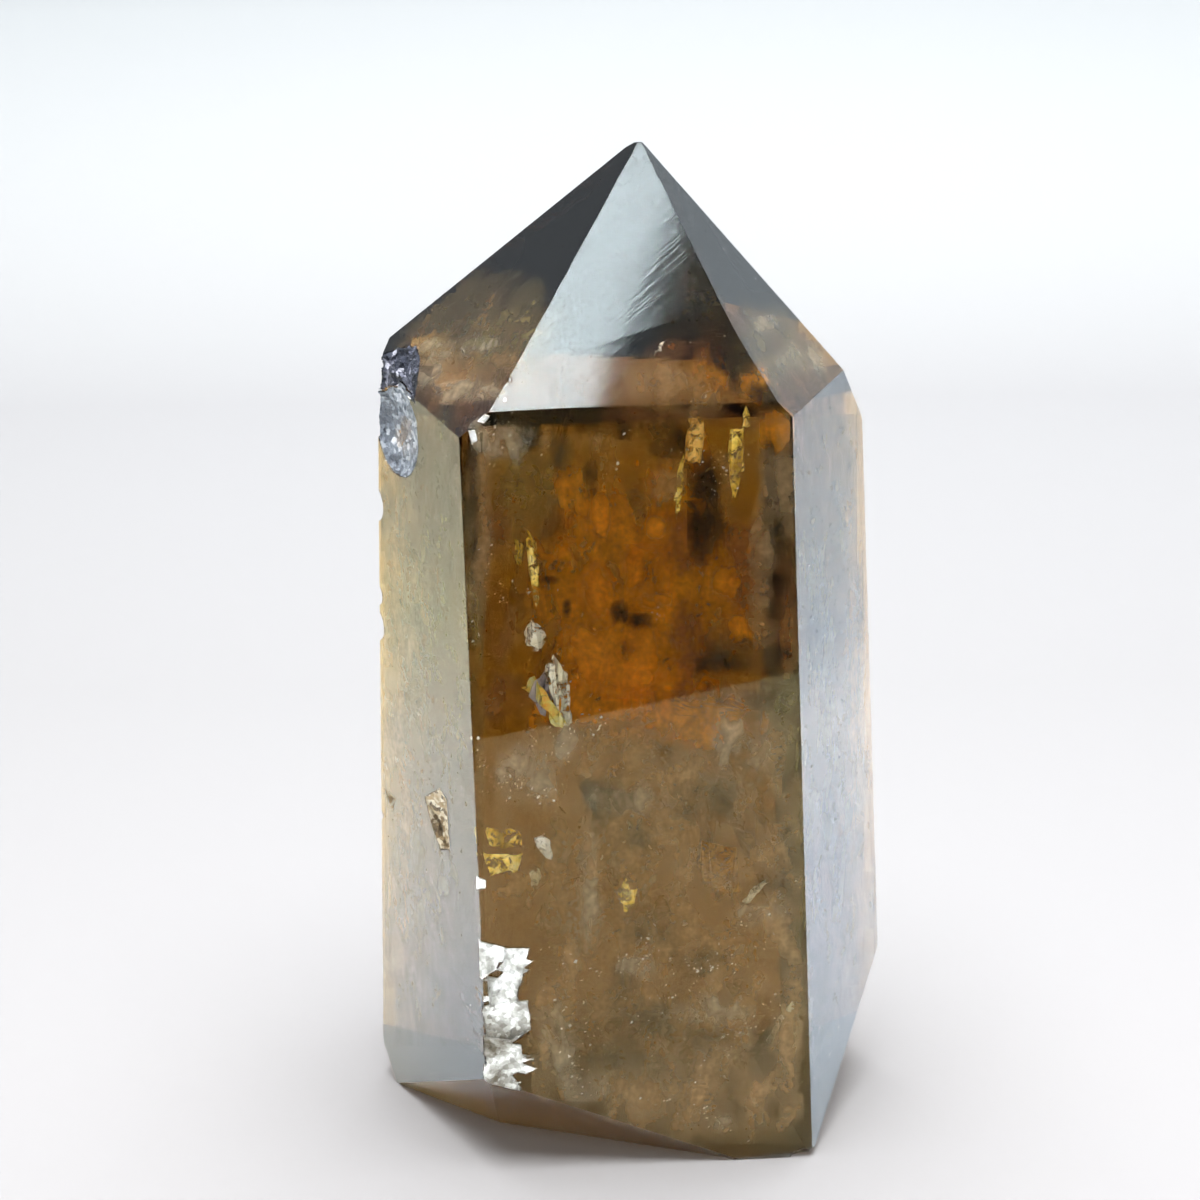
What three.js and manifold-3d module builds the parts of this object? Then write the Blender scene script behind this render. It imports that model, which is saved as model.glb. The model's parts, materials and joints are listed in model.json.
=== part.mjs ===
// A smoky quartz point with polished faces, one piece of stone, about 100 mm tall.
// Millimetres, +Z up along the crystal's own axis. The front face looks along -Y.
// Six prism faces, a six-sided tip and the base planes bound a convex solid,
// and the chips, pits and broken steps of the real stone are cut out of it.
import * as THREE from 'three'
import { ConvexGeometry } from 'three/addons/geometries/ConvexGeometry.js'
import { mergeVertices } from 'three/addons/utils/BufferGeometryUtils.js'
import Module from 'manifold-3d'

const wasm = await Module()
wasm.setup()

const TIP_HEIGHT = 100 // where the tip faces meet on the axis
const BLUNT_HEIGHT = 99.7 // the very tip is worn flat here
const LIFT = 1.5 // how far a cutter stands out of the face it cuts
const SMALLEST_GAP = 1e-6 // two corners closer than this are one corner

// A prism face: the way it faces (degrees from the front, turning right), how far it leans in
// towards the tip, and its reach, the distance from the axis at the height of the base.
const PRISM = {
  front: { azimuth: 4, lean: 2, reach: 17.2 },
  right: { azimuth: 65.9, lean: 2.5, reach: 21.4 },
  backRight: { azimuth: 124.3, lean: 1.8, reach: 21.7 },
  back: { azimuth: 183.9, lean: 0.5, reach: 18 },
  backLeft: { azimuth: 243.5, lean: 2.7, reach: 25.5 },
  left: { azimuth: 299.9, lean: 0.2, reach: 22.8 },
}

// A tip face: the way it faces, its slope from level, and the height where it crosses the axis.
// The front one was ground steeper at its lower right, which makes it two planes.
const TIP = {
  front: { azimuth: 1.5, slope: 54.4, height: TIP_HEIGHT },
  frontLower: { azimuth: 4.2, slope: 62.2, height: 106.2 },
  right: { azimuth: 64.9, slope: 51.5, height: TIP_HEIGHT },
  backRight: { azimuth: 124.3, slope: 55.9, height: TIP_HEIGHT },
  back: { azimuth: 183.9, slope: 60, height: TIP_HEIGHT },
  backLeft: { azimuth: 241.5, slope: 42.6, height: TIP_HEIGHT + 0.4 },
  left: { azimuth: 307.9, slope: 45.8, height: TIP_HEIGHT },
}

// Corners of the base, which is not one straight cut. The stone stands on the flat part
// between the feet, and the front left and right corners are lifted off the ground.
const LEFT_FOOT = [-25.9, -0.7, 0]
const FRONT_FOOT = [-15.1, -8.8, 0]
const RIGHT_FOOT = [9, -16.6, 0]
const FRONT_LEFT_CORNER = [-15.8, -18, 10.3]
const LEFT_CORNER = [-27.4, 1.9, 3.6]
const FRONT_RIGHT_CORNER = [16.4, -16.1, 0.4]
const RIGHT_CORNER = [24, 2.8, 13.6]
const LEFT_GROUND_LINE = [-24.8, 6, 0]
const RIGHT_GROUND_LINE = [9.6, 20, 0]

// The narrow worn strip down the upper part of the front left edge.
const WORN_EDGE = [[-16.9, -15.7, 75], [-15.8, -15.77, 75], [-16.05, -17.5, 25]]

const radians = THREE.MathUtils.degToRad
const outward = (azimuth) => new THREE.Vector3(Math.sin(radians(azimuth)), -Math.cos(radians(azimuth)), 0)

function plane(azimuth, rise, point) {
  const normal = outward(azimuth).multiplyScalar(Math.cos(radians(rise)))
  normal.z = Math.sin(radians(rise))
  return { azimuth, normal, distance: normal.dot(point) }
}

function prismFace({ azimuth, lean, reach }) {
  return plane(azimuth, lean, outward(azimuth).multiplyScalar(reach))
}

function tipFace({ azimuth, slope, height }) {
  return plane(azimuth, 90 - slope, new THREE.Vector3(0, 0, height))
}

// The plane through three points, facing away from the middle of the stone.
function planeThrough(points) {
  const [a, b, c] = points.map((point) => new THREE.Vector3(...point))
  const normal = b.sub(a).cross(c.sub(a)).normalize()
  const middle = new THREE.Vector3(0, 0, TIP_HEIGHT / 2)
  if (normal.dot(middle) > normal.dot(a)) normal.negate()
  return { normal, distance: normal.dot(a) }
}

const faces = Object.fromEntries(Object.entries(PRISM).map(([name, sizes]) => [name, prismFace(sizes)]))
const tipFaces = Object.fromEntries(Object.entries(TIP).map(([name, sizes]) => [name, tipFace(sizes)]))
const basePlanes = [
  { normal: new THREE.Vector3(0, 0, -1), distance: 0 },
  planeThrough([LEFT_FOOT, FRONT_FOOT, FRONT_LEFT_CORNER]),
  planeThrough([FRONT_FOOT, RIGHT_FOOT, FRONT_LEFT_CORNER]),
  planeThrough([LEFT_FOOT, LEFT_CORNER, LEFT_GROUND_LINE]),
  planeThrough([FRONT_RIGHT_CORNER, RIGHT_CORNER, RIGHT_GROUND_LINE]),
]
const wornPlanes = [{ normal: new THREE.Vector3(0, 0, 1), distance: BLUNT_HEIGHT }, planeThrough(WORN_EDGE)]

// The corner where three planes meet, or null where they don't.
function meet(a, b, c) {
  const volume = a.normal.dot(b.normal.clone().cross(c.normal))
  if (Math.abs(volume) < SMALLEST_GAP) return null
  return new THREE.Vector3()
    .addScaledVector(b.normal.clone().cross(c.normal), a.distance / volume)
    .addScaledVector(c.normal.clone().cross(a.normal), b.distance / volume)
    .addScaledVector(a.normal.clone().cross(b.normal), c.distance / volume)
}

// The corners of the convex solid that all the planes bound.
function cornersWithin(planes) {
  const corners = []
  for (let i = 0; i < planes.length; i++) {
    for (let j = i + 1; j < planes.length; j++) {
      for (let k = j + 1; k < planes.length; k++) {
        const corner = meet(planes[i], planes[j], planes[k])
        if (!corner) continue
        if (planes.some(({ normal, distance }) => normal.dot(corner) > distance + SMALLEST_GAP)) continue
        if (corners.some((other) => other.distanceTo(corner) < SMALLEST_GAP)) continue
        corners.push(corner)
      }
    }
  }
  return corners
}

function solid(geometry) {
  const plain = geometry.clone()
  plain.deleteAttribute('normal')
  plain.deleteAttribute('uv')
  const merged = mergeVertices(plain, SMALLEST_GAP)
  return new wasm.Manifold(new wasm.Mesh({
    numProp: 3,
    vertProperties: new Float32Array(merged.attributes.position.array),
    triVerts: new Uint32Array(merged.index.array),
  }))
}

// A point on a face, from how far along the face it lies to the right of the axis, seen from
// outside, and its height. A depth moves it into the stone.
function onFace(face, along, height, depth = 0) {
  const out = outward(face.azimuth)
  const right = outward(face.azimuth + 90)
  const reach = (face.distance - face.normal.z * height) / face.normal.dot(out)
  return new THREE.Vector3(0, 0, height)
    .addScaledVector(out, reach)
    .addScaledVector(right, along)
    .addScaledVector(face.normal, -depth)
}

// A flat-sided chip: its outline on a face as [along, height, depth of the stone lost there].
function shard(face, outline) {
  const points = outline.flatMap(([along, height, depth]) => [
    onFace(face, along, height, depth),
    onFace(face, along, height, -LIFT),
  ])
  return solid(new ConvexGeometry(points))
}

// A shell-shaped chip: a squashed ball with a hackly surface, sunk in a face.
function scoop(face, along, height, { halfWidth, halfHeight, depth }) {
  const geometry = mergeVertices(new THREE.IcosahedronGeometry(1, 2).deleteAttribute('normal').deleteAttribute('uv'))
  const right = outward(face.azimuth + 90)
  const up = face.normal.clone().cross(right)
  const place = new THREE.Matrix4()
    .makeBasis(right.multiplyScalar(halfWidth), up.multiplyScalar(halfHeight), face.normal.clone().multiplyScalar(depth))
    .setPosition(onFace(face, along, height))
  const corner = new THREE.Vector3()
  const { position } = geometry.attributes
  for (let i = 0; i < position.count; i++) {
    corner.fromBufferAttribute(position, i)
    const hackle = Math.sin(corner.x * 7 + height) * Math.sin(corner.y * 9 + along) * Math.sin(corner.z * 5)
    corner.multiplyScalar(1 + 0.08 * hackle)
    position.setXYZ(i, corner.x, corner.y, corner.z)
  }
  return solid(geometry.applyMatrix4(place))
}

// The broken upper left corner: a rough patch over the edge between the left tip face and the
// left face, and a long shell-shaped scar below it.
function brokenCorner() {
  const rim = [[-15.2, 79.3], [-12.9, 80.4], [-11, 81], [-9.3, 80.2], [-8.2, 79.1]]
  const floor = [[-10.6, 78.6, 1.1], [-8, 78.3, 1.5], [-5.6, 77.5, 0.9], [-3.4, 77, 0.1]]
  const patch = [
    ...rim.flatMap(([along, height]) => [
      onFace(tipFaces.left, along, height),
      onFace(tipFaces.left, along, height, -2 * LIFT),
    ]),
    ...floor.flatMap(([along, height, depth]) => [
      onFace(faces.left, along, height, depth),
      onFace(faces.left, along, height, -2 * LIFT),
    ]),
  ]
  return [
    solid(new ConvexGeometry(patch)),
    shard(faces.left, [[-13, 79.4, 0.9], [-7.4, 78.4, 1.2], [-9, 76.4, 0.5], [-13, 75.8, 0.6]]),
    scoop(faces.left, -7.6, 73.5, { halfWidth: 4.4, halfHeight: 4.9, depth: 1.3 }),
  ]
}

// The stepped break down the lower front left edge, on the front face.
function brokenSteps() {
  return [
    [[-17.6, 25.4, 0.5], [-15, 24.6, 0.1], [-16, 22, 0.5], [-17.6, 21, 0.8]],
    [[-15.2, 24.5, 0.6], [-12.6, 24.4, 0.15], [-13.6, 21.2, 0.2], [-14, 18.8, 0.4], [-15.4, 19.6, 0.9]],
    [[-16.9, 21.6, 0.7], [-14.6, 21, 0.9], [-13.7, 18.6, 0.4], [-16.8, 17.8, 0.8]],
    [[-17.4, 18.4, 0.4], [-12.9, 18.8, 0.2], [-12.6, 15.4, 0.2], [-14.8, 14, 1], [-17.2, 14.6, 0.7]],
    [[-17.5, 14.8, 0.4], [-13.6, 14, 0.3], [-13.5, 11, 0.3], [-15.4, 10.6, 0.9], [-17.2, 11.8, 0.5]],
    [[-17.6, 11.9, 0.6], [-15, 11.3, 0.8], [-13.7, 9.2, 0.2], [-14.2, 8, 0.3], [-17.4, 9, 0.9]],
    [[-17.8, 32.3, 0.5], [-16.6, 31.8, 0.15], [-16.7, 30.9, 0.1], [-17.8, 30.6, 0.6]],
  ].map((outline) => shard(faces.front, outline))
}

// The two brown pits in the left face.
function pits() {
  return [
    [[-4.1, 36.2, 0.1], [-0.8, 38.5, 0.15], [0.6, 37.8, 0.5], [1, 32.6, 0.6], [-1, 31.7, 0.8], [-2.9, 33.9, 0.9]],
    [[-12.9, 33.6, 0.15], [-10.5, 33.4, 0.3], [-11.3, 31.6, 0.7]],
  ].map((outline) => shard(faces.left, outline))
}

// Notches down the far left edge, from the top: how far along the left face the edge lies
// there, its height, half the notch's height, and how much of the edge is gone.
function edgeNotches() {
  return [
    [-12.3, 64.2, 1.7, 0.9],
    [-13, 54.6, 1.2, 0.8],
    [-13.2, 51.3, 1.7, 1],
    [-14.2, 30.2, 0.5, 0.6],
    [-14.5, 24.6, 0.9, 0.35],
  ].map(([along, height, halfHeight, depth]) => (
    scoop(faces.left, along - 0.2, height, { halfWidth: depth * 1.6, halfHeight, depth })
  ))
}

// Small chips: both ends of the short edge above the front left corner, the front right foot,
// and two pecks in the front tip face.
function smallChips() {
  return [
    scoop(faces.front, -15.9, 78.1, { halfWidth: 0.8, halfHeight: 0.5, depth: 0.5 }),
    scoop(faces.front, -16.8, 76.3, { halfWidth: 0.6, halfHeight: 0.8, depth: 0.5 }),
    scoop(faces.front, 15, 0.2, { halfWidth: 2.2, halfHeight: 0.8, depth: 0.9 }),
    scoop(tipFaces.front, -12.6, 81.2, { halfWidth: 0.25, halfHeight: 0.35, depth: 0.2 }),
    scoop(tipFaces.front, -13.1, 79.7, { halfWidth: 0.25, halfHeight: 0.3, depth: 0.2 }),
  ]
}

function stoneGeometry() {
  const planes = [...Object.values(faces), ...Object.values(tipFaces), ...basePlanes, ...wornPlanes]
  const whole = solid(new ConvexGeometry(cornersWithin(planes)))
  const cuts = [...brokenCorner(), ...brokenSteps(), ...pits(), ...edgeNotches(), ...smallChips()]
  const { vertProperties, triVerts } = cuts.reduce((left, cut) => left.subtract(cut), whole).getMesh()
  const geometry = new THREE.BufferGeometry()
  geometry.setAttribute('position', new THREE.BufferAttribute(new Float32Array(vertProperties), 3))
  geometry.setIndex([...triVerts])
  return geometry
}

// The stone stands on the ground with the middle of its box over the origin.
function centred(geometry) {
  geometry.computeBoundingBox()
  const middle = geometry.boundingBox.getCenter(new THREE.Vector3())
  return geometry.translate(-middle.x, -middle.y, -geometry.boundingBox.min.z)
}

const quartz = new THREE.MeshStandardMaterial({ color: '#6b4a2a', roughness: 0.08, metalness: 0 })

function smokyQuartzPoint() {
  const geometry = centred(stoneGeometry())
  geometry.computeVertexNormals()
  const mesh = new THREE.Mesh(geometry, quartz)
  mesh.name = 'smoky_quartz_point'
  return mesh
}

const part = new THREE.Group()
part.name = 'part'
part.add(smokyQuartzPoint())

export default part
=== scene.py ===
"""Smoky quartz point: the visual model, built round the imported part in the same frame.

The stone is one closed piece of clear brown glass. Its broken places carry thin crusts, and
healed cracks, veils and flakes lie inside it. Everything rides on the one body. Sizes are in
millimetres from the crystal's own axis, and place() turns them into metres in the part's frame.
"""
import json
import math
import random

import bmesh
import bpy
from mathutils import Matrix, Vector, noise

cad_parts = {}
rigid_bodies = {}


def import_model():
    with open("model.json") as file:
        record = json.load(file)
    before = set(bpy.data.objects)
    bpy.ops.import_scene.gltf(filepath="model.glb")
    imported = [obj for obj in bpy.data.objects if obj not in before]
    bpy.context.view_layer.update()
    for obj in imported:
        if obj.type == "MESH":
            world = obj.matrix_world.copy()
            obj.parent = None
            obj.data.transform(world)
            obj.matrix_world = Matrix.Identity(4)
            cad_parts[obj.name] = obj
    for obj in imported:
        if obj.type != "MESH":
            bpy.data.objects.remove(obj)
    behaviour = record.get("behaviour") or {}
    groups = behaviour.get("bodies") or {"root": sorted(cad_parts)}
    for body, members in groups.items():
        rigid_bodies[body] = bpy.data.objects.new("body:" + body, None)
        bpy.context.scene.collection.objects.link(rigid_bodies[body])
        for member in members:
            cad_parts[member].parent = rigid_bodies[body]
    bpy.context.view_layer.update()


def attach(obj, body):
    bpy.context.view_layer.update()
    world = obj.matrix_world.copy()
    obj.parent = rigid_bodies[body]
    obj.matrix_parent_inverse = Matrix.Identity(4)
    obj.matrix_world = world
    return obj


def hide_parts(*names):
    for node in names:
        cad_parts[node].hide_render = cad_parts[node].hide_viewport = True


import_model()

MM = 0.001
AXIS = Vector((1.7, -0.53, 0))  # where the crystal's axis stands in the part's frame
SMALLEST_GAP = 0.002  # two corners closer than this are one corner
PARALLEL = 1e-4  # three planes that span less than this don't meet in a corner
TIP_HEIGHT = 100
BLUNT_HEIGHT = 99.7
LIFT = 1.5  # how far a cutter stands out of the face it cuts
IOR = 1.544

# The faces as in the part's source: (azimuth from the front, lean, reach) down the sides, and
# (azimuth, slope, height on the axis) at the tip.
PRISM = {
    "front": (4, 2, 17.2),
    "right": (65.9, 2.5, 21.4),
    "back_right": (124.3, 1.8, 21.7),
    "back": (183.9, 0.5, 18),
    "back_left": (243.5, 2.7, 25.5),
    "left": (299.9, 0.2, 22.8),
}
TIP = {
    "tip_front": (1.5, 54.4, TIP_HEIGHT),
    "tip_front_lower": (4.2, 62.2, 106.2),
    "tip_right": (64.9, 51.5, TIP_HEIGHT),
    "tip_back_right": (124.3, 55.9, TIP_HEIGHT),
    "tip_back": (183.9, 60, TIP_HEIGHT),
    "tip_back_left": (241.5, 42.6, TIP_HEIGHT + 0.4),
    "tip_left": (307.9, 45.8, TIP_HEIGHT),
}
LEFT_FOOT = (-25.9, -0.7, 0)
FRONT_FOOT = (-15.1, -8.8, 0)
RIGHT_FOOT = (9, -16.6, 0)
FRONT_LEFT_CORNER = (-15.8, -18, 10.3)
LEFT_CORNER = (-27.4, 1.9, 3.6)
FRONT_RIGHT_CORNER = (16.4, -16.1, 0.4)
RIGHT_CORNER = (24, 2.8, 13.6)
LEFT_GROUND_LINE = (-24.8, 6, 0)
RIGHT_GROUND_LINE = (9.6, 20, 0)
WORN_EDGE = ((-16.9, -15.7, 75), (-15.8, -15.77, 75), (-16.05, -17.5, 25))
FOLD_RADIUS = 45  # the fold between the two front tip faces is rounded
FOLD_STEPS = 6
EDGE_WEAR = 0.07
FLAT_ANGLE = math.radians(0.2)  # faces that meet flatter than this are one face
SHARP_ANGLE = math.radians(4)  # edges sharper than this are worn round

SCOOP_HACKLE = 0.08  # how rough a shell-shaped cut is, as shares of its size
SCOOP_RIPPLE = 0.04
CRUST_GAP = 0.02
CRUST_MARGIN = 0.01  # a crust stays this far inside the whole stone's faces
SPLINTERS = 34
STEPS_FOOT = 8.6  # the stepped break on the front face: its foot, height, sides and width
STEPS_HEIGHT = 15.6
STEPS_LEFT = -17.3
STEPS_RIGHT = -13.6
STEPS_WIDTH = 3.7
VEIL_MARGIN = 1.2  # what lies inside keeps these distances from the faces
CLOUD_MARGIN = 0.25
FLAKE_MARGIN = 0.15
SCATTER_MARGIN = 0.5
VEIL_STEPS = 32  # squares on each side of a veil's net, and of a cloud's
CLOUD_STEPS = 14
VEIL_WAVE = 3.2
VEIL_BEND = 2.5
LOOSE_FLAKES = 1200
WIDEST_FLAKE = 0.4
SCATTER_LOW = (-26, -18, 2)  # the box that the loose flakes are scattered in
SCATTER_HIGH = (23, 18, 94)
EDGE_PARTS = 4  # a chip's straight edge is broken into this many
CHIP_WOBBLE = 0.35  # how far a chip's outline strays from its depth
TIP_BASE_ROW = 408  # the photo shows the foot of the front tip face at this height, in pixels
UPRIGHT = Vector((0, 0, 1))
STROKE = Vector((0.743, 0.389, 0.544))  # the way the polishing strokes run over the front tip face
STROKE_DEPTH = 0.0018
STROKE_SPACING = 0.26
STROKE_LENGTH = 8
STROKE_ROUGHNESS = 0.055
GROOVE_DEPTH = 0.006  # the upright grooves in the left and right faces
GROOVE_SPACING = 0.35
GROOVE_LENGTH = 9
GROOVE_ROUGHNESS = 0.08
SAWN_ROUGHNESS = 0.4
SMOKE_COLOUR = (0.6, 0.46, 0.0)
SMOKE_DENSITY = 215  # per metre
WISP_WEIGHT = 1.7  # how much a film's wisps and its fading rim say about where it shows
RIM_WEIGHT = 0.55
FILM_SOFTNESS = 0.75
PALE_FROM = 0.014  # the white break grows paler between these heights, in metres
PALE_TO = 0.022
SAME_FACING = 0.9999
SAME_PLANE = 0.05

# Shades of the broken places and the chips, from the darkest to the palest.
WHITE_BREAK = [
    (0.4, (0.1, 0.085, 0.06)), (0.48, (0.24, 0.23, 0.2)), (0.56, (0.5, 0.5, 0.46)), (0.64, (0.97, 0.97, 0.94))
]
GREY_BREAK = [
    (0.38, (0.02, 0.022, 0.03)), (0.52, (0.045, 0.05, 0.068)),
    (0.62, (0.1, 0.105, 0.14)), (0.74, (0.5, 0.5, 0.56)),
]
DARK_SCAR = [
    (0.3, (0.09, 0.1, 0.12)), (0.5, (0.19, 0.215, 0.25)), (0.62, (0.3, 0.33, 0.37)), (0.75, (0.7, 0.72, 0.76))
]
BROWN_PITS = [
    (0.3, (0.12, 0.08, 0.04)), (0.42, (0.4, 0.28, 0.14)), (0.55, (0.6, 0.5, 0.34)), (0.7, (0.9, 0.85, 0.7))
]
# Gold chips: partly real flakes, partly painted glints.
GOLD_FLAKE_AND_GLINT = [(0.3, (0.6, 0.42, 0.05)), (0.5, (0.95, 0.72, 0.16)), (0.7, (1, 0.88, 0.42))]
AMBER_CHIP = [(0.3, (0.6, 0.25, 0.03)), (0.6, (0.95, 0.6, 0.15))]
LAVENDER_CHIP = [(0.3, (0.35, 0.3, 0.4)), (0.7, (0.6, 0.55, 0.6))]
RIM_CHIP = [(0.3, (0.95, 0.4, 0.05)), (0.5, (0.9, 0.75, 0.2)), (0.7, (0.9, 0.9, 0.6))]
DARK_CHIP = [(0.3, (0.01, 0.01, 0.008)), (0.7, (0.05, 0.04, 0.02))]
# Tiny white chips: partly real white specks, partly painted glints.
SPECK_AND_GLINT_WHITE = [(0.3, (0.9, 0.9, 0.9)), (0.7, (1, 1, 1))]
PALE_FLAKE = [(0.3, (0.75, 0.7, 0.6)), (0.7, (0.95, 0.95, 0.92))]

# The camera of the photo, fitted to the corners seen in it.
CAMERA_PLACE = Vector((-4.25, -317.94, 184.24))
CAMERA_DOWN = math.radians(22.33)
CAMERA_ROLL = math.radians(-0.72)
CAMERA_LENS = 105
CAMERA_SENSOR = 36
PHOTO_SIZE = 1200

# The studio, in metres.
REACH = 3  # how far the floor goes on every side
FLOOR_DROP = 0.0002  # the sheets lie at different heights, because they would shade each other at one
FLOOR_SPLIT = -0.018  # the floor before this line isn't the one behind it
FLOOR_WHITE = (0.86, 0.87, 0.89)
# Painted shading: the floor the camera sees is coloured darker near the stone and paler far off, so that
# under the lamps it comes out white near the stone and grey far behind it.
BACKDROP_PAINTED_SHADING = [
    (0, (0.265, 0.264, 0.27)), (0.2, (0.256, 0.258, 0.265)),
    (0.43, (0.29, 0.295, 0.305)), (1, (0.7, 0.73, 0.74)),
]
PAINTED_GLOW_TINT = (1, 0.6, 0.3)  # a faint warm glow painted into the whole backdrop stands in for light that comes through the stone into its shadow
PAINTED_GLOW_STRENGTH = 0.05
# Painted reflections: the floor that only the stone's faces mirror is coloured yellow towards the left and
# blue towards the right, to tint its side faces.
MIRRORED_START = -0.17
MIRRORED_END = 0.14
PAINTED_REFLECTION_TINTS = [
    (0.03, (0.78, 0.74, 0.54)), (0.11, (0.88, 0.86, 0.6)), (0.23, (0.84, 0.87, 0.78)),
    (0.4, (0.76, 0.83, 0.89)), (0.55, (0.8, 0.85, 0.87)), (0.69, (0.64, 0.73, 0.84)),
    (0.76, (0.66, 0.75, 0.87)), (0.86, (0.86, 0.91, 0.98)), (0.93, (0.61, 0.69, 0.79)),
    (1, (0.64, 0.7, 0.76)),
]
CLOTH_EDGE = -0.141  # the near edge of the cloth before the stone, which runs at a slant
CLOTH_SLANT = -0.4
CLOTH_HALF_WIDTH = 0.3
CLOTH_COLOUR = (0.5, 0.42, 0.24)
TABLE_COLOUR = (0.05, 0.05, 0.05)
TABLE_DROP = 0.002
WINDOW_PLACE = -0.75
WINDOW_OUTLINE = [
    (0, 1.25), (0, 0.58), (0.11, 0.58), (0.112, 0.628), (0.056, 1.055), (0.087, 1.166), (0.1, 1.25)
]
WINDOW_COLOUR = (0.83, 0.96, 1.0)
WINDOW_GLOW = 15.2
OVERHEAD_PLACE = (0.02, 0, 0.62)
OVERHEAD_TARGET = (0.02, 0, 0)
OVERHEAD_SIZE = (0.5, 0.5)
OVERHEAD_POWER = 4.7
OVERHEAD_SPREAD = 100
SIDE_PLACE = (1.0, 0.95, 0.42)
SIDE_TARGET = (0, 0, 0.05)
SIDE_SIZE = (1.1, 0.6)
SIDE_POWER = 2.0
SIDE_COLOUR = (0.8, 0.93, 1.0)
ROOM_FRONT = (0.24, 0.25, 0.27)
ROOM_BACK = (0.72, 0.78, 0.84)


def outward(azimuth):
    a = math.radians(azimuth)
    return Vector((math.sin(a), -math.cos(a), 0))


def plane(azimuth, rise, point):
    r = math.radians(rise)
    normal = outward(azimuth) * math.cos(r)
    normal.z = math.sin(r)
    return normal, normal.dot(point)


def plane_through(points):
    a, b, c = (Vector(p) for p in points)
    normal = (b - a).cross(c - a).normalized()
    if normal.dot(Vector((0, 0, TIP_HEIGHT / 2))) > normal.dot(a):
        normal.negate()
    return normal, normal.dot(a)


def prism_face(azimuth, lean, reach):
    return plane(azimuth, lean, outward(azimuth) * reach)


def tip_face(azimuth, slope, height):
    return plane(azimuth, 90 - slope, Vector((0, 0, height)))


FACES = {name: prism_face(*sizes) for name, sizes in PRISM.items()}
FACES.update({name: tip_face(*sizes) for name, sizes in TIP.items()})
AZIMUTHS = {name: sizes[0] for name, sizes in {**PRISM, **TIP}.items()}
BASE_PLANES = [
    (Vector((0, 0, -1)), 0),
    plane_through((LEFT_FOOT, FRONT_FOOT, FRONT_LEFT_CORNER)),
    plane_through((FRONT_FOOT, RIGHT_FOOT, FRONT_LEFT_CORNER)),
    plane_through((LEFT_FOOT, LEFT_CORNER, LEFT_GROUND_LINE)),
    plane_through((FRONT_RIGHT_CORNER, RIGHT_CORNER, RIGHT_GROUND_LINE)),
]
WORN_PLANES = [(Vector((0, 0, 1)), BLUNT_HEIGHT), plane_through(WORN_EDGE)]


def rounding(first, second):
    """Planes that round the fold between two faces, all touching one cylinder inside it."""
    (na, da), (nb, db) = first, second
    square = na.dot(nb)
    wa = (da - FOLD_RADIUS - square * (db - FOLD_RADIUS)) / (1 - square ** 2)
    wb = (db - FOLD_RADIUS - square * (da - FOLD_RADIUS)) / (1 - square ** 2)
    centre = na * wa + nb * wb
    planes = []
    for i in range(1, FOLD_STEPS):
        normal = na.slerp(nb, i / FOLD_STEPS)
        planes.append((normal, normal.dot(centre) + FOLD_RADIUS))
    return planes


STONE_PLANES = [
    *FACES.values(),
    *rounding(FACES["tip_front"], FACES["tip_front_lower"]),
    *BASE_PLANES,
    *WORN_PLANES,
]


def corners_within(planes):
    corners = []
    for i, (na, da) in enumerate(planes):
        for j in range(i + 1, len(planes)):
            nb, db = planes[j]
            for nc, dc in planes[j + 1:]:
                volume = na.dot(nb.cross(nc))
                if abs(volume) < PARALLEL:
                    continue
                corner = (nb.cross(nc) * da + nc.cross(na) * db + na.cross(nb) * dc) / volume
                if any(n.dot(corner) > d + SMALLEST_GAP for n, d in planes):
                    continue
                if all((corner - other).length > SMALLEST_GAP for other in corners):
                    corners.append(corner)
    return corners


def inside(point, margin):
    return all(normal.dot(point) <= distance - margin for normal, distance in STONE_PLANES)


def place(point):
    return (point + AXIS) * MM


def add(name, mesh):
    piece = bpy.data.objects.new(name, mesh)
    bpy.context.scene.collection.objects.link(piece)
    return piece


def mesh_from(bm, name):
    for v in bm.verts:
        v.co = place(v.co)
    mesh = bpy.data.meshes.new(name)
    bm.to_mesh(mesh)
    bm.free()
    return mesh


def hull(points):
    bm = bmesh.new()
    for point in points:
        bm.verts.new(point)
    bmesh.ops.convex_hull(bm, input=bm.verts)
    bmesh.ops.dissolve_limit(bm, angle_limit=FLAT_ANGLE, verts=bm.verts, edges=bm.edges)
    return bm


def stone_mesh():
    bm = hull(corners_within(STONE_PLANES))
    sharp = [e for e in bm.edges if e.calc_face_angle() > SHARP_ANGLE]
    bmesh.ops.bevel(
        bm, geom=sharp, offset=EDGE_WEAR, segments=2, profile=0.5, affect="EDGES", clamp_overlap=True
    )
    return mesh_from(bm, "stone")


def on_face(name, along, height, depth=0.0):
    """A point on a face, from its distance along it to the right of the axis, and its height."""
    normal, distance = FACES[name]
    out = outward(AZIMUTHS[name])
    right = outward(AZIMUTHS[name] + 90)
    reach = (distance - normal.z * height) / normal.dot(out)
    return Vector((0, 0, height)) + out * reach + right * along - normal * depth


def shard(name, outline):
    points = [on_face(name, a, h, d) for a, h, d in outline]
    points += [on_face(name, a, h, -LIFT) for a, h, d in outline]
    return hull(points)


def scoop(name, along, height, half_width, half_height, depth):
    bm = bmesh.new()
    bmesh.ops.create_icosphere(bm, subdivisions=4, radius=1)
    normal = FACES[name][0]
    right = outward(AZIMUTHS[name] + 90)
    up = normal.cross(right)
    centre = on_face(name, along, height)
    for v in bm.verts:
        c = v.co.copy()
        hackle = math.sin(c.x * 7 + height) * math.sin(c.y * 9 + along) * math.sin(c.z * 5)
        ripple = noise.fractal(c * 3 + Vector((height, along, 0)), 0.8, 2, 3)
        c *= 1 + SCOOP_HACKLE * hackle + SCOOP_RIPPLE * ripple
        v.co = centre + right * (c.x * half_width) + up * (c.y * half_height) + normal * (c.z * depth)
    return bm


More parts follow.
